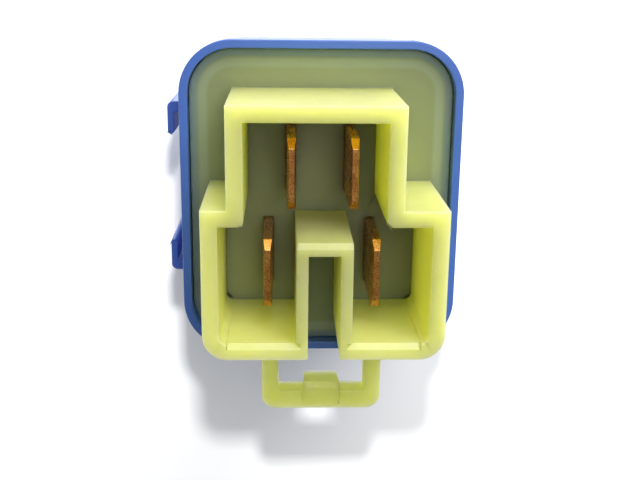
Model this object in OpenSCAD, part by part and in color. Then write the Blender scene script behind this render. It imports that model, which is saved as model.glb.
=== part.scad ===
// Plug-in relay: moulded can, nylon base with a connector shroud, four blades and a hinged armature.
// The relay stands on the closed end of its can, and the connector opens upwards (+Z).
// X runs across the blades, and +Y points to the narrow block of the connector shroud.

/* [Cover] */
// Outer width of the can's mouth
cover_w = 26.4; // [24:0.1:36]
// Outer depth of the can's mouth, across its narrow and latch sides
cover_d = 30.1; // [29:0.1:40]
// Height of the can, from its closed end to its rim
cover_h = 25; // [21:0.1:40]
// Thickness of the can's side walls
cover_wall = 0.8; // [0.6:0.05:1]
// Thickness of the can's closed end
cover_floor = 1; // [0.8:0.05:1.5]
// Outer radius of the mouth's four upright corners
cover_corner_r = 5; // [4.4:0.1:6]
// How far the mouth stands out beyond the body, which is also the width of the ledge inside it
mouth_step = 0.75; // [0.5:0.05:0.9]
// Thickness of the ledge that the base plate rests on
ledge_t = 1; // [0.8:0.05:1.3]
// Draft of the can's body, in degrees a side
draft = 1.8; // [0.5:0.1:2.5]
// Radius of the edge around the closed end
cover_end_r = 1.5; // [0.8:0.1:1.8]
// Radius of the edge under the mouth
mouth_edge_r = 0.4; // [0.2:0.05:0.45]

/* [Bracket rails] */
// Distance between the outer sides of the two rails
rail_span = 17.1; // [13:0.1:19]
// Place of the rails' middle along Y
rail_mid_y = 0.2; // [-1:0.1:1]
// Length of each rail's hooked profile, web and lip together
rail_lip = 3.2; // [2.4:0.1:4]
// Thickness of the web that carries the lip
rail_web = 1; // [0.8:0.05:1.4]
// Depth of the slot that takes the bracket's tongue
rail_slot = 1; // [0.8:0.05:1.4]
// Thickness of the lip
rail_lip_t = 0.65; // [0.5:0.05:1]
// Length of the rails
rail_len = 13; // [8:0.5:13.5]
// Distance from the can's rim down to the rails
rail_setback = 5; // [4.6:0.1:5.5]
// Radius of the rails' outer corners
rail_corner_r = 0.6; // [0.3:0.05:0.65]

/* [Base plate] */
// Thickness of the base plate
plate_t = 2.2; // [2:0.1:2.8]
// Depth of the base plate's face below the can's rim
base_recess = 1; // [0.5:0.1:1.5]
// Gap between the base plate and the can's inner walls
base_gap = 0.1; // [0.05:0.01:0.2]
// Thickness of the skirt that centres the plate in the can's body
skirt_t = 0.9; // [0.7:0.05:1.1]
// Height of the skirt
skirt_h = 2.5; // [1.5:0.1:3]

/* [Connector shroud] */
// Height of the shroud above the base plate
shroud_h = 12; // [10.5:0.1:15]
// Wall thickness of the shroud
shroud_wall = 1.45; // [1.2:0.05:1.7]
// Width of the wide block
wide_w = 21.1; // [19.5:0.1:22]
// Depth of the wide block
wide_d = 13.4; // [12.6:0.1:14]
// Width of the narrow block
narrow_w = 15; // [13:0.1:17]
// Depth of the narrow block, from the shoulders to its outer face
narrow_d = 8.8; // [8.5:0.1:11]
// Sideways offset of the narrow block from the wide one
narrow_shift = -0.86; // [-1.2:0.02:1.2]
// Place of the shoulders along Y, from the can's middle
shoulder_y = 1.83; // [1:0.01:2.2]
// Outer radius of the wide block's two lower corners
wide_corner_r = 2.2; // [1.7:0.1:3]
// Width of the keyway
key_w = 2.8; // [2:0.1:3.2]
// Depth of the keyway, from the shroud's lower face
key_d = 9.4; // [7:0.1:9.8]
// Thickness of the keyway's side walls
key_wall = 1.03; // [0.8:0.01:1.1]
// Thickness of the bridge over the keyway
bridge_t = 1.1; // [0.9:0.05:1.2]
// Lead-in chamfer at the shroud's mouth
mouth_chamfer = 0.45; // [0.2:0.05:0.6]
// Radius of the two corners where the wide block's cavity opens into the narrow one
step_corner_r = 0.4; // [0.1:0.05:0.6]

/* [Latch loop] */
// Outer width of the loop
loop_w = 11.5; // [9.5:0.1:13]
// Width of each arm
loop_arm = 1.6; // [1.2:0.1:2]
// Width of the bar that closes the loop
loop_bar = 1.8; // [1.4:0.1:2.4]
// Reach of the loop below the shroud's lower face
loop_drop = 8.6; // [7.5:0.1:11]
// Thickness of the loop
loop_t = 2.5; // [1.8:0.1:3]
// Gap between the loop and the can's rim
loop_gap = 0.2; // [0.1:0.05:0.6]
// Sideways offset of the loop
loop_shift = 0.15; // [-0.5:0.05:0.5]
// Outer radius of the loop's corners
loop_r = 1.4; // [0.8:0.1:2]
// Radius of the fillets where the arms leave the shroud
arm_fillet = 0.5; // [0.2:0.05:0.8]
// Width of the catch in the middle of the bar
catch_w = 3.6; // [2.5:0.1:4]
// How much narrower the catch is at its back, on each side
catch_taper = 0.2; // [0:0.05:0.3]
// Height of the catch above the bar's inner edge
catch_up = 1.1; // [0.6:0.1:1.4]
// Height of the catch above the bar's front
catch_out = 0.5; // [0.2:0.1:0.8]
// Width of the bevel around the catch's crest
catch_bevel = 0.45; // [0.2:0.05:0.6]

/* [Terminals] */
// Width of a blade
tab_w = 6.3; // [5.3:0.1:7]
// Thickness of a blade
tab_t = 0.8; // [0.6:0.05:1]
// Length of a blade above the base plate
tab_len = 8.4; // [7:0.1:9.6]
// Chamfer at the blade's tip corners
tab_chamfer = 0.8; // [0.4:0.05:1]
// Thickness left at the blade's bevelled tip
tab_tip_t = 0.5; // [0.3:0.05:0.6]
// Distance between the two contact blades
contact_pitch = 5.5; // [4.8:0.1:6.4]
// Distance between the two coil blades
coil_pitch = 9.7; // [9.4:0.1:11]
// Middle of the contact blades above the shoulders
contact_tab_up = 2.25; // [2:0.05:3]
// Middle of the coil blades below the shoulders
coil_tab_down = 6.8; // [6.4:0.1:7.2]
// Sideways offset of all four blades
tab_shift = -0.1; // [-0.3:0.05:0.3]
// Clearance around a blade in its slot
tab_clear = 0.05; // [0.03:0.01:0.1]

/* [Magnet] */
// Space between the can's closed end and the pole face
armature_room = 4.6; // [4.4:0.1:6]
// Space between the yoke and the can, for the armature's tail
tail_room = 2; // [1.9:0.05:2.4]
// Thickness of the yoke
yoke_t = 1.5; // [1.2:0.1:1.6]
// Width of the yoke's leg
yoke_w = 12; // [10:0.1:14]
// Width of the yoke's foot between the coil blades
foot_w = 7.8; // [6:0.1:7.8]
// Radius of the core
core_r = 2.5; // [2:0.1:2.8]
// Radius of the pole head
pole_r = 3.75; // [3.2:0.05:4.2]
// Thickness of the pole head
pole_t = 0.9; // [0.7:0.1:1.2]
// Outer radius of the winding
winding_r = 5.8; // [5:0.1:6]
// Wall of the bobbin's tube
bobbin_wall = 0.8; // [0.6:0.05:1]
// Thickness of the bobbin's flanges
flange_t = 1.1; // [0.9:0.1:1.4]
// Gap between seated pieces
seat_gap = 0.1; // [0.05:0.01:0.15]

/* [Armature and contacts] */
// Thickness of the armature
armature_t = 1.3; // [1:0.1:1.4]
// Width of the armature
armature_w = 11; // [9:0.1:12]
// Thickness of the contact leaf
leaf_t = 0.3; // [0.2:0.05:0.4]
// Width of the leaf at its tip
leaf_w = 4; // [3.4:0.1:5]
// Open gap between the two contacts
contact_gap = 1.1; // [0.7:0.1:1.3]
// Radius of a contact
contact_r = 1.5; // [1.2:0.1:1.7]
// Thickness of a contact
contact_t = 0.7; // [0.5:0.05:0.8]
// Outer radius of the return spring
spring_r = 0.75; // [0.6:0.05:0.8]
// Wire radius of the return spring
spring_wire_r = 0.15; // [0.1:0.01:0.18]
// Turns of the return spring
spring_turns = 9; // [6:1:12]

/* [Hidden] */
$fn = 64;

// A little more than nothing, for cuts that run past a face
cut = 0.5;
// How far a rib or an arm runs into the wall that carries it
root = 0.4;

// Heights
base_face_z = cover_h - base_recess;
plate_under_z = base_face_z - plate_t;
mouth_z = base_face_z + shroud_h;
slope = tan(draft);
pole_face_z = cover_floor + armature_room;
foot_top_z = plate_under_z - seat_gap;
foot_under_z = foot_top_z - yoke_t;
flange_low_z = pole_face_z + pole_t + seat_gap;
flange_high_z = foot_under_z - seat_gap - flange_t;

// Places along Y
wide_low_y = shoulder_y - wide_d;
narrow_top_y = shoulder_y + narrow_d;
key_top_y = wide_low_y + key_d;
contact_tab_y = shoulder_y + contact_tab_up;
coil_tab_y = shoulder_y - coil_tab_down;
loop_low_y = wide_low_y - loop_drop;
body_in_y = -cover_d / 2 + mouth_step + cover_wall + (plate_under_z - cover_floor) * slope;
yoke_out_y = body_in_y + tail_room;
flange_half = winding_r + 0.3;
core_y = yoke_out_y + yoke_t + seat_gap + flange_half;
contact_y = contact_tab_y + 2.4;

// The loop's height above the base plate's face
loop_z = cover_h + loop_gap;

// The armature turns on the lower outer edge of the yoke's leg
pivot_y = yoke_out_y;
pivot_z = pole_face_z - seat_gap / 2;
armature_top_z = pole_face_z - seat_gap;
leaf_top_z = armature_top_z - armature_t - 0.05;
rest_angle = asin(contact_gap / (contact_y - pivot_y));
closed_gap = 0.05;
contact_face_z = leaf_top_z + contact_t + closed_gap;
leaf_tip_y = contact_y + 2.4;
tail_y = pivot_y - tail_room / 2;
rivet_y = pivot_y + yoke_t + 1.5;
rivet_x = 3.4;
rivet_r = 0.55;
rivet_head_r = 1;
rivet_clear = 0.05;

// A point of the armature group, turned from the closed place to the open one
function opened_z(y, z) =
    pivot_z + (z - pivot_z) * cos(rest_angle) - (y - pivot_y) * sin(rest_angle);

// ---- Shared shapes ----

module rounded_rect(w, d, r) {
    square([w - 2 * r, d], center = true);
    square([w, d - 2 * r], center = true);
    for (sx = [-1, 1], sy = [-1, 1])
        translate([sx * (w / 2 - r), sy * (d / 2 - r)])
            circle(r = r);
}

// The can's mouth seen from above, shrunk by an inset
module mouth_outline(inset) {
    rounded_rect(cover_w - 2 * inset, cover_d - 2 * inset, cover_corner_r - inset);
}

// Half the section of a drafted block: a flat end, a rounded edge, and a wall that leans outwards
module draft_profile(end_r, h, e) {
    edge_x = end_r + e * slope - e / cos(draft);
    polygon([
        [0, 0],
        [edge_x, 0],
        [edge_x + e * cos(draft), e - e * sin(draft)],
        [end_r + h * slope, h],
        [0, h]
    ]);
    translate([edge_x, e])
        circle(r = e);
}

// A rounded block on its smaller end; w, d and r are measured there
module drafted_block(w, d, h, r, e) {
    half_x = w / 2 - r;
    half_y = d / 2 - r;
    translate([-half_x, -half_y, 0])
        cube([2 * half_x, 2 * half_y, h]);
    for (sx = [-1, 1], sy = [-1, 1])
        translate([sx * half_x, sy * half_y, 0])
            rotate_extrude()
                draft_profile(r, h, e);
    for (side = [0, 1]) {
        mirror([side, 0, 0])
            translate([half_x, 0, 0])
                rotate([90, 0, 0])
                    linear_extrude(2 * half_y, center = true)
                        draft_profile(r, h, e);
        mirror([0, side, 0])
            translate([0, half_y, 0])
                rotate([90, 0, 90])
                    linear_extrude(2 * half_x, center = true)
                        draft_profile(r, h, e);
    }
}

// A folded strip seen edge-on: down one side, round the bend, and along
module fold_profile(down, along, t, bend_r) {
    outer_r = bend_r + t;
    translate([0, outer_r])
        square([t, down - outer_r]);
    translate([outer_r, 0])
        square([along - outer_r, t]);
    translate([outer_r, outer_r])
        intersection() {
            difference() {
                circle(r = outer_r);
                circle(r = bend_r);
            }
            translate([-outer_r, -outer_r])
                square(outer_r);
        }
}

// A round bar that follows a path; each reference direction stays square to the path
function unit(v) = v / norm(v);
function heading(p, i) = unit(p[min(i + 1, len(p) - 1)] - p[max(i - 1, 0)]);
function ring(c, t, ref, r, n) =
    let (a = unit(ref - t * (ref * t)), b = cross(t, a))
        [for (k = [0:n - 1]) c + r * (cos(360 * k / n) * a + sin(360 * k / n) * b)];

module bar_along(path, refs, r, n) {
    last = len(path) - 1;
    points = [for (i = [0:last]) each ring(path[i], heading(path, i), refs[i], r, n)];
    sides = [
        for (i = [0:last - 1], k = [0:n - 1])
            let (a = i * n + k, b = i * n + (k + 1) % n)
                each [[a, a + n, b + n], [a, b + n, b]]
    ];
    first_cap = [for (k = [0:n - 1]) k];
    last_cap = [for (k = [n - 1:-1:0]) last * n + k];
    polyhedron(points, concat(sides, [first_cap, last_cap]));
}

// ---- Cover ----

// A drafted block of the can; its top outline is the mouth's, shrunk by an inset
module can_block(inset, from_z, to_z, e) {
    shrink = 2 * (inset + (to_z - from_z) * slope);
    translate([0, 0, from_z])
        drafted_block(
            cover_w - shrink, cover_d - shrink, to_z - from_z,
            cover_corner_r - shrink / 2, e
        );
}

// One hooked rail, seen along its length: a web from the wall, and a lip that turns towards the other
module rail_profile() {
    reach = rail_slot + rail_lip_t;
    web_root = mouth_step + plate_under_z * slope + root;
    tip_r = rail_lip_t / 2 - 0.02;
    translate([-reach + rail_corner_r, -rail_web])
        square([reach - rail_corner_r + web_root, rail_web]);
    translate([-reach, -rail_lip + tip_r])
        square([rail_lip_t, rail_lip - tip_r - rail_corner_r]);
    translate([-reach + tip_r, -rail_lip])
        square([rail_lip_t - 2 * tip_r, tip_r]);
    for (x = [tip_r, rail_lip_t - tip_r])
        translate([-reach + x, -rail_lip + tip_r])
            circle(r = tip_r);
    translate([-reach + rail_corner_r, -rail_corner_r])
        circle(r = rail_corner_r);
}

module bracket_rails() {
    translate([-cover_w / 2, rail_mid_y, cover_h - rail_setback - rail_len])
        linear_extrude(rail_len)
            for (side = [0, 1])
                mirror([0, side])
                    translate([0, rail_span / 2])
                        rail_profile();
}

module cover() {
    cavity_edge_r = cover_end_r - cover_wall + 0.2;
    cavity_inset = mouth_step + cover_wall - cut * slope;
    color("royalblue")
        difference() {
            union() {
                can_block(mouth_step, 0, plate_under_z, cover_end_r);
                can_block(0, plate_under_z - ledge_t, cover_h, mouth_edge_r);
                bracket_rails();
            }
            can_block(cavity_inset, cover_floor, plate_under_z + cut, cavity_edge_r);
            translate([0, 0, plate_under_z])
                linear_extrude(cover_h)
                    mouth_outline(cover_wall);
        }
}

// ---- Base ----

// The wide block, grown or shrunk by an inset: only its lower corners are round
module wide_outline(inset) {
    w = wide_w - 2 * inset;
    low_y = wide_low_y + inset;
    r = wide_corner_r - inset;
    translate([-w / 2, low_y + r])
        square([w, shoulder_y - inset - low_y - r]);
    translate([-w / 2 + r, low_y])
        square([w - 2 * r, r + root]);
    for (s = [-1, 1])
        translate([s * (w / 2 - r), low_y + r])
            circle(r = r);
}

module narrow_outline(inset) {
    w = narrow_w - 2 * inset;
    low_y = shoulder_y - 2 * shroud_wall;
    translate([narrow_shift - w / 2, low_y])
        square([w, narrow_top_y - inset - low_y]);
}

module key_housing() {
    w = key_w + 2 * key_wall;
    translate([-w / 2, wide_low_y])
        square([w, key_d + bridge_t]);
}

// Takes the sharp corner off the wall where the two cavities meet
module step_corners() {
    corner_y = shoulder_y - shroud_wall;
    for (s = [-1, 1])
        translate([narrow_shift + s * (narrow_w / 2 - shroud_wall), corner_y])
            difference() {
                translate([s > 0 ? -root : -step_corner_r, -root])
                    square([step_corner_r + root, step_corner_r + root]);
                translate([s * step_corner_r, step_corner_r])
                    circle(r = step_corner_r);
            }
}

module socket_outline() {
    difference() {
        union() {
            wide_outline(shroud_wall);
            narrow_outline(shroud_wall);
            step_corners();
        }
        key_housing();
    }
}

// Lead-in wedge along a wall at the mouth; its inner end runs out into the keyway's wall
module mouth_wedge(x_from, x_to, y, run_out) {
    hull() {
        translate([x_from, y, mouth_z - mouth_chamfer])
            cube([x_to - x_from, 0.01, 0.01]);
        translate([x_from, y - mouth_chamfer, mouth_z])
            cube([x_to - x_from + run_out, mouth_chamfer, cut]);
    }
}

module mouth_chamfers() {
    pocket_y = wide_low_y + shroud_wall;
    key_side = key_w / 2 + key_wall;
    outer_end = wide_w / 2 - wide_corner_r;
    mouth_wedge(-outer_end, -key_side, pocket_y, mouth_chamfer);
    mirror([1, 0, 0])
        mouth_wedge(-outer_end, -key_side, pocket_y, mouth_chamfer);
    mouth_wedge(-key_side, key_side, key_top_y + bridge_t, 0);
}

module tab_slot(x, y) {
    translate([x - tab_t / 2 - tab_clear, y - tab_w / 2 - tab_clear, plate_under_z - cut])
        cube([tab_t + 2 * tab_clear, tab_w + 2 * tab_clear, plate_t + 2 * cut]);
}

module latch_outline() {
    w = loop_w;
    inner_w = loop_w - 2 * loop_arm;
    top_y = wide_low_y + root;
    bar_y = loop_low_y + loop_bar;
    difference() {
        union() {
            translate([loop_shift - w / 2, loop_low_y + loop_r])
                square([w, top_y - loop_low_y - loop_r]);
            translate([loop_shift - w / 2 + loop_r, loop_low_y])
                square([w - 2 * loop_r, loop_bar]);
            for (s = [-1, 1])
                translate([loop_shift + s * (w / 2 - loop_r), loop_low_y + loop_r])
                    circle(r = loop_r);
        }
        difference() {
            translate([loop_shift - inner_w / 2, bar_y])
                square([inner_w, wide_low_y - bar_y]);
            for (s = [-1, 1])
                translate([loop_shift + s * (inner_w / 2 - arm_fillet), wide_low_y - arm_fillet])
                    difference() {
                        translate([s > 0 ? 0 : -arm_fillet - root, 0])
                            square([arm_fillet + root, arm_fillet + root]);
                        circle(r = arm_fillet);
                    }
        }
    }
}

// The catch: a ramp that climbs from the bar's lower edge, tapered to its back, with a bevelled crest
module latch_catch() {
    low_y = loop_low_y + 0.3;
    top_y = loop_low_y + loop_bar + catch_up;
    front_z = loop_z + loop_t;
    crest_z = front_z + catch_out;
    half = catch_w / 2;
    translate([loop_shift, 0, 0])
        intersection() {
            rotate([90, 0, 90])
                linear_extrude(catch_w, center = true)
                    polygon([
                        [low_y, loop_z + root],
                        [top_y, loop_z],
                        [top_y, crest_z - catch_bevel],
                        [top_y - catch_bevel, crest_z],
                        [low_y, front_z]
                    ]);
            translate([0, top_y, 0])
                rotate([90, 0, 0])
                    linear_extrude(top_y - low_y)
                        polygon([
                            [-half + catch_taper, loop_z],
                            [half - catch_taper, loop_z],
                            [half, crest_z - catch_bevel],
                            [half - catch_bevel, crest_z],
                            [-half + catch_bevel, crest_z],
                            [-half, crest_z - catch_bevel]
                        ]);
        }
}

module base_plate() {
    skirt_out = mouth_step + cover_wall + base_gap + skirt_h * slope;
    difference() {
        union() {
            translate([0, 0, plate_under_z])
                linear_extrude(plate_t)
                    mouth_outline(cover_wall + base_gap);
            translate([0, 0, plate_under_z - skirt_h])
                linear_extrude(skirt_h + root)
                    difference() {
                        mouth_outline(skirt_out);
                        mouth_outline(skirt_out + skirt_t);
                    }
        }
        stop_pocket();
    }
}

module base() {
    color("palegoldenrod") {
        difference() {
            union() {
                base_plate();
                translate([0, 0, base_face_z - root])
                    linear_extrude(shroud_h + root) {
                        wide_outline(0);
                        narrow_outline(0);
                    }
                translate([0, 0, loop_z])
                    linear_extrude(loop_t)
                        latch_outline();
                latch_catch();
            }
            translate([0, 0, base_face_z])
                linear_extrude(shroud_h + cut)
                    socket_outline();
            translate([-key_w / 2, wide_low_y - cut, base_face_z])
                cube([key_w, key_d + cut, shroud_h + cut]);
            mouth_chamfers();
            for (s = [-1, 1]) {
                tab_slot(tab_shift + s * contact_pitch / 2, contact_tab_y);
                tab_slot(tab_shift + s * coil_pitch / 2, coil_tab_y);
            }
        }
    }
}

// ---- Terminals ----

// A blade from below the plate to its bevelled tip, centred on x = 0 and y = 0
module blade(low_z) {
    tip_z = base_face_z + tab_len;
    half = tab_w / 2;
    bevel = (tab_t - tab_tip_t) / 2;
    intersection() {
        translate([-tab_t / 2, 0, 0])
            rotate([90, 0, 90])
                linear_extrude(tab_t)
                    polygon([
                        [-half, low_z],
                        [half, low_z],
                        [half, tip_z - tab_chamfer],
                        [half - tab_chamfer, tip_z],
                        [-half + tab_chamfer, tip_z],
                        [-half, tip_z - tab_chamfer]
                    ]);
        rotate([90, 0, 0])
            linear_extrude(tab_w, center = true)
                polygon([
                    [-tab_t / 2, low_z],
                    [tab_t / 2, low_z],
                    [tab_t / 2, tip_z - tab_chamfer],
                    [tab_t / 2 - bevel, tip_z],
                    [-tab_t / 2 + bevel, tip_z],
                    [-tab_t / 2, tip_z - tab_chamfer]
                ]);
    }
}

load_x = tab_shift + contact_pitch / 2;
common_x = tab_shift - contact_pitch / 2;
strip_w = 4.2;
strip_bend_r = 0.4;
shelf_z = contact_face_z + contact_t;
// How far the load blade reaches below the plate, where its strip joins it
tab_heel = 1.5;
strip_top_z = plate_under_z - seat_gap;

module terminal_load() {
    shelf_reach = load_x + tab_t / 2 + contact_r + 0.4;
    color("peru") {
        translate([load_x, contact_tab_y, 0])
            blade(plate_under_z);
        translate([load_x - tab_t / 2, contact_y - strip_w / 2, plate_under_z - tab_heel])
            cube([tab_t, contact_tab_y + tab_w / 2 - contact_y + strip_w / 2, tab_heel + root]);
        difference() {
            translate([load_x + tab_t / 2, contact_y + strip_w / 2, shelf_z])
                rotate([90, 0, 0])
                    linear_extrude(strip_w)
                        mirror([1, 0])
                            fold_profile(strip_top_z - shelf_z, shelf_reach, tab_t, strip_bend_r);
            translate([0, contact_y, shelf_z - cut])
                cylinder(r = rivet_r + rivet_clear, h = tab_t + 2 * cut);
        }
    }
}

// The common blade's strip runs down along the blade's outer edge
common_w = 2.8;
common_y = contact_tab_y + tab_w / 2 - common_w / 2;
common_low_z = plate_under_z - 10;

module terminal_common() {
    color("peru") {
        translate([common_x, contact_tab_y, 0])
            blade(plate_under_z);
        translate([common_x - tab_t / 2, common_y - common_w / 2, common_low_z])
            cube([tab_t, common_w, plate_under_z + root - common_low_z]);
    }
}

coil_leg_w = 2.4;
coil_leg_low_z = flange_high_z + 0.2;

// The coil blades narrow to a leg that stands in a notch of the bobbin's flange
module coil_terminal(side) {
    color("peru")
        translate([tab_shift + side * coil_pitch / 2, coil_tab_y, 0]) {
            blade(plate_under_z);
            translate([-tab_t / 2, -coil_leg_w / 2, coil_leg_low_z])
                cube([tab_t, coil_leg_w, plate_under_z + root - coil_leg_low_z]);
        }
}

// ---- Magnet ----

module flange(z) {
    translate([0, core_y, z])
        linear_extrude(flange_t)
            rounded_rect(2 * flange_half, 2 * flange_half, 2);
}

module bobbin() {
    tube_r = core_r + seat_gap + bobbin_wall;
    notch_in = coil_pitch / 2 - tab_t / 2 - abs(tab_shift) - 0.1;
    color("ivory")
        difference() {
            union() {
                flange(flange_low_z);
                flange(flange_high_z);
                translate([0, core_y, flange_low_z])
                    cylinder(r = tube_r, h = flange_high_z + flange_t - flange_low_z);
            }
            translate([0, core_y, flange_low_z - cut])
                cylinder(r = core_r + seat_gap, h = flange_high_z + flange_t - flange_low_z + 2 * cut);
            for (s = [0, 1])
                mirror([s, 0, 0])
                    translate([notch_in, coil_tab_y - coil_leg_w / 2 - 0.1, flange_high_z - cut])
                        cube([flange_half, coil_leg_w + 0.2, flange_t + 2 * cut]);
        }
}

module winding() {
    low_z = flange_low_z + flange_t + 0.05;
    color("saddlebrown")
        translate([0, core_y, low_z])
            difference() {
                cylinder(r = winding_r, h = flange_high_z - 0.05 - low_z);
                translate([0, 0, -cut])
                    cylinder(r = core_r + seat_gap + bobbin_wall + 0.05, h = cover_h);
            }
}

neck_r = core_r - 0.6;

module core() {
    color("silver")
        translate([0, core_y, 0]) {
            translate([0, 0, pole_face_z])
                cylinder(r = pole_r, h = pole_t);
            translate([0, 0, pole_face_z])
                cylinder(r = core_r, h = foot_under_z - pole_face_z);
            translate([0, 0, foot_under_z - root])
                cylinder(r = neck_r, h = yoke_t + root);
        }
}

tenon_w = 2;
tenon_h = 1.1;
tenon_x = yoke_w / 2 - tenon_w / 2 - 0.8;

module yoke() {
    foot_end_y = core_y + core_r + 1.2;
    waist_y = coil_tab_y - tab_w / 2 - 0.3;
    color("lightsteelblue")
        difference() {
            union() {
                intersection() {
                    translate([-yoke_w / 2, yoke_out_y, foot_top_z])
                        rotate([90, 0, 90])
                            linear_extrude(yoke_w)
                                mirror([0, 1])
                                    fold_profile(
                                        foot_top_z - pole_face_z, foot_end_y - yoke_out_y,
                                        yoke_t, seat_gap
                                    );
                    union() {
                        translate([-yoke_w / 2, yoke_out_y - cut, 0])
                            cube([yoke_w, waist_y - yoke_out_y + cut, cover_h]);
                        translate([-foot_w / 2, yoke_out_y, 0])
                            cube([foot_w, foot_end_y - yoke_out_y + cut, cover_h]);
                    }
                }
                for (s = [-1, 1])
                    translate([s * tenon_x - tenon_w / 2, yoke_out_y, pole_face_z - tenon_h])
                        cube([tenon_w, yoke_t, tenon_h + root]);
                spring_lug(spring_top_z, yoke_t / 2);
            }
            translate([0, core_y, foot_under_z - cut])
                cylinder(r = neck_r + 0.05, h = yoke_t + 2 * cut);
            spring_hole(spring_top_z);
        }
}

// ---- Armature group ----

// Everything on the armature is drawn closed and then turned to its open place
module open_place() {
    translate([0, pivot_y, pivot_z])
        rotate([-rest_angle, 0, 0])
            translate([0, -pivot_y, -pivot_z])
                children();
}

module rivet_places() {
    for (s = [-1, 1])
        translate([s * rivet_x, rivet_y, 0])
            children();
}

tail_w = 3.2;

module armature() {
    front_y = core_y + pole_r + 0.8;
    low_z = armature_top_z - armature_t;
    slot_clear = 0.18;
    color("lightgray")
        open_place()
            difference() {
                union() {
                    translate([-armature_w / 2, pivot_y - 0.1, low_z])
                        cube([armature_w, front_y - pivot_y + 0.1, armature_t]);
                    translate([-tail_w / 2, tail_y - spring_r, low_z])
                        cube([tail_w, pivot_y - tail_y + spring_r, armature_t]);
                }
                for (s = [-1, 1])
                    translate([
                        s * tenon_x - tenon_w / 2 - slot_clear, pivot_y - slot_clear, low_z - cut
                    ])
                        cube([
                            tenon_w + 2 * slot_clear, yoke_t + 2 * slot_clear, armature_t + 2 * cut
                        ]);
                rivet_places()
                    translate([0, 0, low_z - cut])
                        cylinder(r = rivet_r + rivet_clear, h = armature_t + 2 * cut);
                translate([0, tail_y, low_z - cut])
                    cylinder(r = spring_wire_r + 0.15, h = armature_t + 2 * cut);
            }
}

module contact_leaf() {
    root_w = 2 * (rivet_x + rivet_head_r);
    taper_y = core_y + pole_r;
    color("goldenrod")
        open_place()
            translate([0, 0, leaf_top_z - leaf_t])
                linear_extrude(leaf_t)
                    difference() {
                        polygon([
                            [-root_w / 2, rivet_y - 1.3],
                            [root_w / 2, rivet_y - 1.3],
                            [root_w / 2, taper_y],
                            [leaf_w / 2, contact_y - contact_r],
                            [leaf_w / 2, leaf_tip_y],
                            [-leaf_w / 2, leaf_tip_y],
                            [-leaf_w / 2, contact_y - contact_r],
                            [-root_w / 2, taper_y]
                        ]);
                        rivet_places()
                            circle(r = rivet_r + rivet_clear);
                        translate([0, contact_y])
                            circle(r = rivet_r + rivet_clear);
                    }
}

module leaf_rivets() {
    head_t = 0.3;
    low_z = leaf_top_z - leaf_t;
    color("gray")
        open_place()
            rivet_places() {
                translate([0, 0, armature_top_z])
                    cylinder(r = rivet_head_r, h = head_t);
                translate([0, 0, low_z - head_t])
                    cylinder(r = rivet_head_r, h = head_t);
                translate([0, 0, low_z - head_t])
                    cylinder(r = rivet_r, h = armature_top_z - low_z + 2 * head_t);
            }
}

// A button contact on a shank that is upset on the far side of its strip
module button(thickness) {
    cylinder(r = contact_r, h = contact_t);
    translate([0, 0, -thickness - 0.3])
        cylinder(r = rivet_r, h = thickness + 0.3 + root);
    translate([0, 0, -thickness - 0.3])
        cylinder(r = 1.1, h = 0.3);
}

module moving_contact() {
    color("silver")
        open_place()
            translate([0, contact_y, leaf_top_z])
                button(leaf_t);
}

module fixed_contact() {
    color("silver")
        translate([0, contact_y, shelf_z])
            mirror([0, 0, 1])
                button(tab_t);
}

// The back stop's shelf lies just under the leaf's tip in its open place
stop_x = -8.2;
stop_w = 1.8;
stop_y = contact_y + 1.5;
stop_sink = 1.5;
stop_shelf_z = opened_z(leaf_tip_y, leaf_top_z - leaf_t) - 0.06 - tab_t;

module back_stop() {
    color("peru")
        translate([stop_x, stop_y + stop_w, stop_shelf_z])
            rotate([90, 0, 0])
                linear_extrude(stop_w)
                    fold_profile(
                        plate_under_z + stop_sink - stop_shelf_z, leaf_w / 2 - stop_x - 0.4,
                        tab_t, strip_bend_r
                    );
}

module stop_pocket() {
    translate([stop_x - tab_clear, stop_y - tab_clear, plate_under_z - cut])
        cube([tab_t + 2 * tab_clear, stop_w + 2 * tab_clear, stop_sink + tab_clear + cut]);
}

// ---- Spring, braid and leads ----

spring_top_z = pole_face_z + 8;
spring_low_z = opened_z(tail_y, armature_top_z);

// A lug on the yoke's leg with the hole that the spring's upper end hooks into
module spring_lug(z, sink) {
    translate([-tail_w / 2, tail_y - spring_r, z])
        cube([tail_w, yoke_out_y - tail_y + spring_r + sink, 1]);
}

module spring_hole(z) {
    translate([0, tail_y, z - cut])
        cylinder(r = spring_wire_r + 0.15, h = 1 + 2 * cut);
}

// Straight ends on the axis, and turns that swell out between them
module return_spring() {
    steps_per_turn = 12;
    steps = spring_turns * steps_per_turn;
    low_z = spring_low_z - armature_t / 2;
    high_z = spring_top_z + 0.6;
    end_share = 0.12;
    mid_r = spring_r - spring_wire_r;
    function swell(u) = min(1, max(0, min(u, 1 - u) - end_share) / 0.06);
    angles = [for (i = [0:steps]) 360 * i / steps_per_turn];
    path = [
        for (i = [0:steps])
            let (u = i / steps)
                [
                    mid_r * swell(u) * cos(angles[i]),
                    tail_y + mid_r * swell(u) * sin(angles[i]),
                    low_z + (high_z - low_z) * u
                ]
    ];
    refs = [for (a = angles) [cos(a), sin(a), 0]];
    color("dimgray")
        bar_along(path, refs, spring_wire_r, 6);
}

braid_r = 0.45;
// The braid's route from the common terminal's strip to the leaf, worked out from both ends
braid_from = [common_x - tab_t / 2 - braid_r - 0.02, common_y, common_low_z + 1.6];
braid_foot_y = core_y + flange_half + 0.9;
braid_to = [-2.2, braid_foot_y, opened_z(braid_foot_y, leaf_top_z) + braid_r + 0.08];

function bezier(a, b, c, d, u) =
    pow(1 - u, 3) * a + 3 * u * pow(1 - u, 2) * b + 3 * u * u * (1 - u) * c + pow(u, 3) * d;

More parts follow.
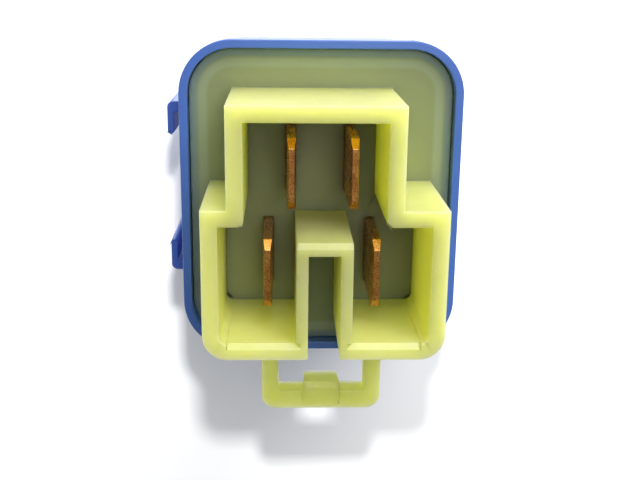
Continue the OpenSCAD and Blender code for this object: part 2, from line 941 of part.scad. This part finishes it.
module braid() {
    steps = 16;
    path = [
        for (i = [0:steps])
            bezier(
                braid_from, braid_from - [0.3, 0, 0.6 * (braid_from.z - braid_to.z)],
                braid_to + [-4, 0, 1.5], braid_to, i / steps
            )
    ];
    refs = [for (p = path) [0, 1, 0]];
    color("darkorange")
        bar_along(path, refs, braid_r, 8);
}

// A lead comes off the coil terminal's leg and drops to the side of the winding
module coil_lead(side) {
    wire_r = 0.12;
    leg_face = abs(tab_shift + side * coil_pitch / 2) + tab_t / 2;
    top = [leg_face + wire_r + 0.02, coil_tab_y + 0.6, coil_leg_low_z + 0.5];
    winding_face = winding_r + wire_r + 0.03;
    path = [
        top,
        top + [0.5, 0, 0],
        [winding_face + 0.5, coil_tab_y + 0.6, flange_high_z + 0.2],
        [winding_face + 0.5, coil_tab_y + 0.6, flange_high_z - 0.9],
        [winding_face, core_y, flange_high_z - 1.6],
        [winding_face, core_y, flange_high_z - 2.4]
    ];
    refs = [for (p = path) [0, 1, 0]];
    color("orangered")
        mirror([side > 0 ? 0 : 1, 0, 0])
            bar_along(path, refs, wire_r, 8);
}

// ---- One line for each node ----

cover();
base();
terminal_common();
terminal_load();
coil_terminal(-1);  // terminal_coil_a
coil_terminal(1);  // terminal_coil_b
bobbin();
winding();
core();
yoke();
armature();
contact_leaf();
leaf_rivets();
moving_contact();
fixed_contact();
return_spring();
braid();
back_stop();
coil_lead(-1);  // coil_lead_a
coil_lead(1);  // coil_lead_b
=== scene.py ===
# A plug-in automotive relay on a pale floor, seen into its connector from above the narrow block.
from math import radians

import bpy
from mathutils import Matrix, Vector


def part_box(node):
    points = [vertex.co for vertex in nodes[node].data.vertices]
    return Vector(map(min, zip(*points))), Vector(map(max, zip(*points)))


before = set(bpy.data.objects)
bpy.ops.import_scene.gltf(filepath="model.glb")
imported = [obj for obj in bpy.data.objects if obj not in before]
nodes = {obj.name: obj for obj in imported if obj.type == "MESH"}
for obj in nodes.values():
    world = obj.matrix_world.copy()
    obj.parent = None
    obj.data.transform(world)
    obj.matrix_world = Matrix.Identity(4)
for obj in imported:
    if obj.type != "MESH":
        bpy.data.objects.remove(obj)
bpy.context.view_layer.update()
scene = bpy.context.scene
MM = 0.001

# ---- Places that the rest is worked out from, in millimetres ----

CAN_CORNER_R = 5
BASE_RECESS = 1

cover_high = Vector(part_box("cover")[1])
rim_z = cover_high.z / MM
can_half_x = cover_high.x / MM
can_half_y = cover_high.y / MM
face_z = rim_z - BASE_RECESS

# ---- Camera ----

CAMERA_PLACE = (-3.63, 21.31, rim_z + 87.77)
CAMERA_FORWARD = (0.03952, -0.27476, -0.96070)
CAMERA_UP = (-0.00144, 0.96144, -0.27503)
SENSOR_WIDTH = 36
LENS = 53.5

# ---- Light: the room's strength, then the lamps' watts ----

ROOM = 0.2
KEY = 1.56
FRONT = 0.54
FLOOD = 0.14
ROOM_COLOUR = (0.93, 0.97, 1, 1)

# The floor's own glow, near the object and away from it, and the distances between which it grows.
FLOOR_HALF_M = 3
GLOW_NEAR = 0.12
GLOW_FAR = 0.9
GLOW_FROM = 60
GLOW_TO = 200

# ---- Edges, in millimetres ----

MOULDED_EDGE = 0.12
STAMPED_EDGE = 0.05
EDGE_SEGMENTS = 2
SHARP_ANGLE = radians(35)
SAME_POINT_M = 1e-6

# ---- The base's plate, seen from above, painted darker as shade: a painted blue band of bounce light from the can at the edge, then a paler painted highlight ring, by distance from the rim ----

BLUE_BOUNCE_FADES = (1.4, 1.8)
HIGHLIGHT_RING_STARTS = (1.5, 1.9)
HIGHLIGHT_RING_FADES = (2.3, 2.8)
PLATE_FADES = (face_z + 0.02, face_z + 0.3)

BLADES = ("terminal_common", "terminal_load", "terminal_coil_a", "terminal_coil_b")


# ---- Small helpers ----


def srgb(red, green, blue):
    """A colour given as 0 to 255 screen values, as the linear colour that a shader takes."""
    def linear(value):
        value = value / 255
        return value / 12.92 if value <= 0.04045 else ((value + 0.055) / 1.055) ** 2.4
    return (linear(red), linear(green), linear(blue), 1)


class Shader:
    """A node material, built by adding nodes and joining their sockets."""

    def __init__(self, name):
        self.material = bpy.data.materials.new(name)
        self.material.use_nodes = True
        self.tree = self.material.node_tree
        self.surface = self.tree.nodes["Principled BSDF"]

    def add(self, kind, settings=None, **inputs):
        node = self.tree.nodes.new(kind)
        for name, value in (settings or {}).items():
            setattr(node, name, value)
        for name, value in inputs.items():
            self.join(value, node.inputs[name.replace("_", " ")])
        return node

    def join(self, value, socket):
        if isinstance(value, bpy.types.NodeSocket):
            self.tree.links.new(value, socket)
        else:
            socket.default_value = value

    def set(self, **inputs):
        for name, value in inputs.items():
            self.join(value, self.surface.inputs[name.replace("_", " ")])

    def place(self, scale=(1, 1, 1)):
        """Object coordinates in millimetres, stretched by scale."""
        where = self.add("ShaderNodeTexCoord").outputs["Object"]
        factors = tuple(value / MM for value in scale)
        return self.add("ShaderNodeMapping", Vector=where, Scale=factors).outputs["Vector"]

    def axis(self, vector, name):
        return self.add("ShaderNodeSeparateXYZ", Vector=vector).outputs[name]

    def inset(self, place):
        """How far a point lies inside the can's mouth, seen from above, in millimetres."""
        straight_x = can_half_x - CAN_CORNER_R
        straight_y = can_half_y - CAN_CORNER_R
        over_x = self.math("SUBTRACT", self.math("ABSOLUTE", self.axis(place, "X")), straight_x)
        over_y = self.math("SUBTRACT", self.math("ABSOLUTE", self.axis(place, "Y")), straight_y)
        round_x = self.math("MAXIMUM", over_x, 0.0)
        round_y = self.math("MAXIMUM", over_y, 0.0)
        squares = self.math("ADD", self.math("POWER", round_x, 2.0), self.math("POWER", round_y, 2.0))
        straight = self.math("MINIMUM", self.math("MAXIMUM", over_x, over_y), 0.0)
        outline = self.math("ADD", self.math("SQRT", squares), straight)
        return self.math("SUBTRACT", CAN_CORNER_R, outline)

    def noise(self, size, detail=3, roughness=0.5, stretch=(1, 1, 1)):
        """Noise whose blobs are about size millimetres across, from 0 to 1."""
        return self.add(
            "ShaderNodeTexNoise", Vector=self.place(stretch),
            Scale=1 / size, Detail=detail, Roughness=roughness,
        ).outputs["Fac"]

    def math(self, operation, first, second=0.0):
        node = self.add("ShaderNodeMath", {"operation": operation})
        self.join(first, node.inputs[0])
        self.join(second, node.inputs[1])
        return node.outputs[0]

    def span(self, value, low, high, to_low=0, to_high=1):
        """value from low..high mapped to to_low..to_high and held there."""
        return self.add(
            "ShaderNodeMapRange", {"interpolation_type": "SMOOTHSTEP"},
            Value=value, From_Min=low, From_Max=high, To_Min=to_low, To_Max=to_high,
        ).outputs["Result"]

    def mix(self, factor, first, second):
        node = self.add("ShaderNodeMix", {"data_type": "RGBA"})
        self.join(factor, node.inputs["Factor"])
        self.join(first, node.inputs[6])
        self.join(second, node.inputs[7])
        return node.outputs[2]

    def bump(self, height, distance, strength):
        """A bump of that height in millimetres."""
        node = self.add("ShaderNodeBump", Strength=strength, Distance=distance * MM, Height=height)
        return node.outputs["Normal"]


def finish_node(name, material):
    """The CAD node takes this material in every slot."""
    mesh = nodes[name].data
    mesh.materials.clear()
    mesh.materials.append(material)


def round_edges(name, width):
    """Rounds a node's sharp edges by width millimetres."""
    node = nodes[name]
    node.modifiers.new("weld", "WELD").merge_threshold = SAME_POINT_M
    edge = node.modifiers.new("edges", "BEVEL")
    edge.width = width * MM
    edge.segments = EDGE_SEGMENTS
    edge.limit_method = "ANGLE"
    edge.angle_limit = SHARP_ANGLE
    edge.use_clamp_overlap = False
    edge.harden_normals = True


# ---- Camera, floor and light ----


def make_camera():
    """The camera stands over the +Y side and looks down the shroud, with +Y at the picture's top."""
    place = Vector(CAMERA_PLACE) * MM
    forward = Vector(CAMERA_FORWARD)
    right = forward.cross(Vector(CAMERA_UP)).normalized()
    up = right.cross(forward)
    camera = bpy.data.objects.new("camera", bpy.data.cameras.new("camera"))
    camera.matrix_world = Matrix.Translation(place) @ Matrix((right, up, -forward)).transposed().to_4x4()
    camera.data.sensor_width = SENSOR_WIDTH
    camera.data.lens = LENS
    camera.data.clip_start = 0.005
    camera.data.clip_end = 20
    scene.collection.objects.link(camera)
    scene.camera = camera


def make_floor():
    """A pale floor that gives off a little light of its own, more of it far from the object."""
    mesh = bpy.data.meshes.new("floor")
    half = FLOOR_HALF_M
    corners = [(-half, -half, 0), (half, -half, 0), (half, half, 0), (-half, half, 0)]
    mesh.from_pydata(corners, [], [(0, 1, 2, 3)])
    floor = bpy.data.objects.new("floor", mesh)
    s = Shader("floor")
    away = s.add("ShaderNodeVectorMath", {"operation": "LENGTH"}, Vector=s.place()).outputs["Value"]
    s.set(
        Base_Color=(0.9, 0.9, 0.9, 1), Roughness=0.8, Specular_IOR_Level=0.2,
        Emission_Color=(0.95, 0.98, 1, 1),
        Emission_Strength=s.span(away, GLOW_FROM, GLOW_TO, GLOW_NEAR, GLOW_FAR),
    )
    mesh.materials.append(s.material)
    scene.collection.objects.link(floor)
    return floor


def add_softbox(name, place, aim, size, power):
    light = bpy.data.lights.new(name, "AREA")
    light.shape = "RECTANGLE"
    light.size, light.size_y = (value * MM for value in size)
    light.energy = power
    box = bpy.data.objects.new(name, light)
    place, aim = Vector(place) * MM, Vector(aim) * MM
    box.location = place
    box.rotation_euler = (aim - place).to_track_quat("-Z", "Y").to_euler()
    box.visible_camera = False
    scene.collection.objects.link(box)
    return box


def light_only(box, name, objects):
    """The light falls on these objects alone; everything still casts its shadow on them."""
    group = bpy.data.collections.new(name)
    for item in objects:
        group.objects.link(item)
    box.light_linking.receiver_collection = group


def make_light(floor):
    """A key from the narrow block's side, a weaker front light, and a small lamp for the floor's shadow."""
    world = bpy.data.worlds.new("room")
    world.use_nodes = True
    background = world.node_tree.nodes["Background"]
    background.inputs["Color"].default_value = ROOM_COLOUR
    background.inputs["Strength"].default_value = ROOM
    scene.world = world
    middle = (0, 0, rim_z)
    add_softbox("key", (120, 330, rim_z + 200), middle, (300, 220), KEY)
    add_softbox("front", (60, 120, rim_z + 390), middle, (200, 200), FRONT)
    flood = add_softbox("flood", (-1.7, 47.5, 116), (0, -10, 0), (6, 6), FLOOD)
    light_only(flood, "flooded", [floor])
    scene.view_settings.view_transform = "Standard"
    scene.view_settings.look = "None"


# ---- Materials ----


def green_nylon():
    """Yellow-green nylon that light travels through, so a wall lit from outside glows on its inside. Its
    plate is painted darker as shade, with a painted blue band of bounce light from the can along the rim
    and a painted highlight ring inside that band.
    """
    s = Shader("green_nylon")
    place = s.place()
    height = s.axis(place, "Z")
    inset = s.inset(place)
    mottle = s.span(s.noise(2.2, 4, 0.6), 0.3, 0.7)
    body = s.mix(mottle, (0.79, 0.84, 0.22, 1), (0.76, 0.81, 0.19, 1))
    # Painted reflected light: a blue-green band along the rim, standing in for light bounced off the blue
    # can.
    blue_bounce_band = s.span(inset, *BLUE_BOUNCE_FADES, 1, 0)
    # Painted highlight: a paler ring inside the band, standing in for the light a moulded ridge would
    # catch.
    highlight_ring = s.math("MULTIPLY", s.span(inset, *HIGHLIGHT_RING_STARTS), s.span(inset, *HIGHLIGHT_RING_FADES, 1, 0))
    # Painted shade: the plate is made darker than the walls, standing in for light lost through the thin
    # plate into the dark can.
    plate_painted_light = s.mix(blue_bounce_band, (0.3, 0.34, 0.14, 1), (0.24, 0.34, 0.25, 1))
    plate_painted_light = s.mix(highlight_ring, plate_painted_light, (0.36, 0.43, 0.22, 1))
    on_plate = s.span(height, *PLATE_FADES, 1, 0)
    s.set(
        Base_Color=s.mix(on_plate, body, plate_painted_light), Roughness=0.42, IOR=1.53,
        Subsurface_Weight=1.0, Subsurface_Radius=(1.0, 1.0, 0.45), Subsurface_Scale=0.01,
        Normal=s.bump(s.noise(0.12, 3, 0.6), 0.004, 0.5),
    )
    return s.material


def blue_nylon():
    """The can's blue, a little glossy, with a fine moulded grain."""
    s = Shader("blue_nylon")
    mottle = s.noise(3, 4, 0.6)
    s.set(
        Base_Color=s.mix(mottle, (0.06, 0.14, 0.5, 1), (0.075, 0.17, 0.58, 1)),
        Roughness=0.3, IOR=1.52,
        Normal=s.bump(s.noise(0.15, 3, 0.6), 0.004, 0.4),
    )
    return s.material


def copper(name, light, dark, roughness=0.3):
    """Bare copper alloy, drawn along Z, with toned patches."""
    s = Shader(name)
    tone = s.noise(1.6, 5, 0.6)
    streaks = s.noise(0.12, 3, 0.5, (1, 1, 0.06))
    s.set(
        Base_Color=s.mix(s.span(tone, 0.4, 0.75), light, dark), Metallic=1.0,
        Roughness=s.span(streaks, 0.3, 0.7, roughness - 0.08, roughness + 0.12),
        Normal=s.bump(streaks, 0.004, 0.5),
    )
    return s.material


def steel(name, tone, roughness):
    """Plated steel with a fine rolled grain."""
    s = Shader(name)
    grain = s.noise(0.1, 3, 0.5, (1, 0.08, 1))
    light = (tone, tone, tone * 1.02, 1)
    dark = (tone * 0.7, tone * 0.7, tone * 0.72, 1)
    s.set(
        Base_Color=s.mix(s.noise(2.5, 4, 0.6), light, dark), Metallic=1.0,
        Roughness=s.span(grain, 0.3, 0.7, roughness - 0.08, roughness + 0.1),
        Normal=s.bump(grain, 0.003, 0.4),
    )
    return s.material


def plain_nylon():
    """The bobbin's undyed nylon."""
    s = Shader("bobbin_nylon")
    s.set(
        Base_Color=s.mix(s.noise(2, 4, 0.6), srgb(226, 220, 200), srgb(214, 206, 184)), Roughness=0.45,
        Normal=s.bump(s.noise(0.15, 3, 0.6), 0.004, 0.4),
    )
    return s.material


def set_materials():
    blade = copper("blade_copper", srgb(214, 150, 82), srgb(168, 104, 52))
    wire = copper("magnet_wire", srgb(178, 92, 48), srgb(150, 72, 36), 0.25)
    iron = steel("magnet_iron", 0.6, 0.32)
    silver = steel("contact_silver", 0.8, 0.22)
    finishes = {
        "cover": blue_nylon(),
        "base": green_nylon(),
        "bobbin": plain_nylon(),
        "contact_leaf": copper("leaf_copper", srgb(224, 160, 96), srgb(196, 130, 70)),
        "leaf_rivets": steel("rivet_steel", 0.55, 0.3),
        "return_spring": steel("spring_steel", 0.4, 0.3),
        "braid": copper("braid_copper", srgb(206, 132, 84), srgb(168, 96, 54)),
    }
    shared = (
        (blade, (*BLADES, "back_stop")),
        (wire, ("winding", "coil_lead_a", "coil_lead_b")),
        (iron, ("core", "yoke", "armature")),
        (silver, ("moving_contact", "fixed_contact")),
    )
    for material, names in shared:
        for name in names:
            finishes[name] = material
    for name, material in finishes.items():
        finish_node(name, material)


# ---- The scene ----

make_camera()
make_light(make_floor())
set_materials()
for name in ("base", "cover"):
    round_edges(name, MOULDED_EDGE)
for name in BLADES:
    round_edges(name, STAMPED_EDGE)
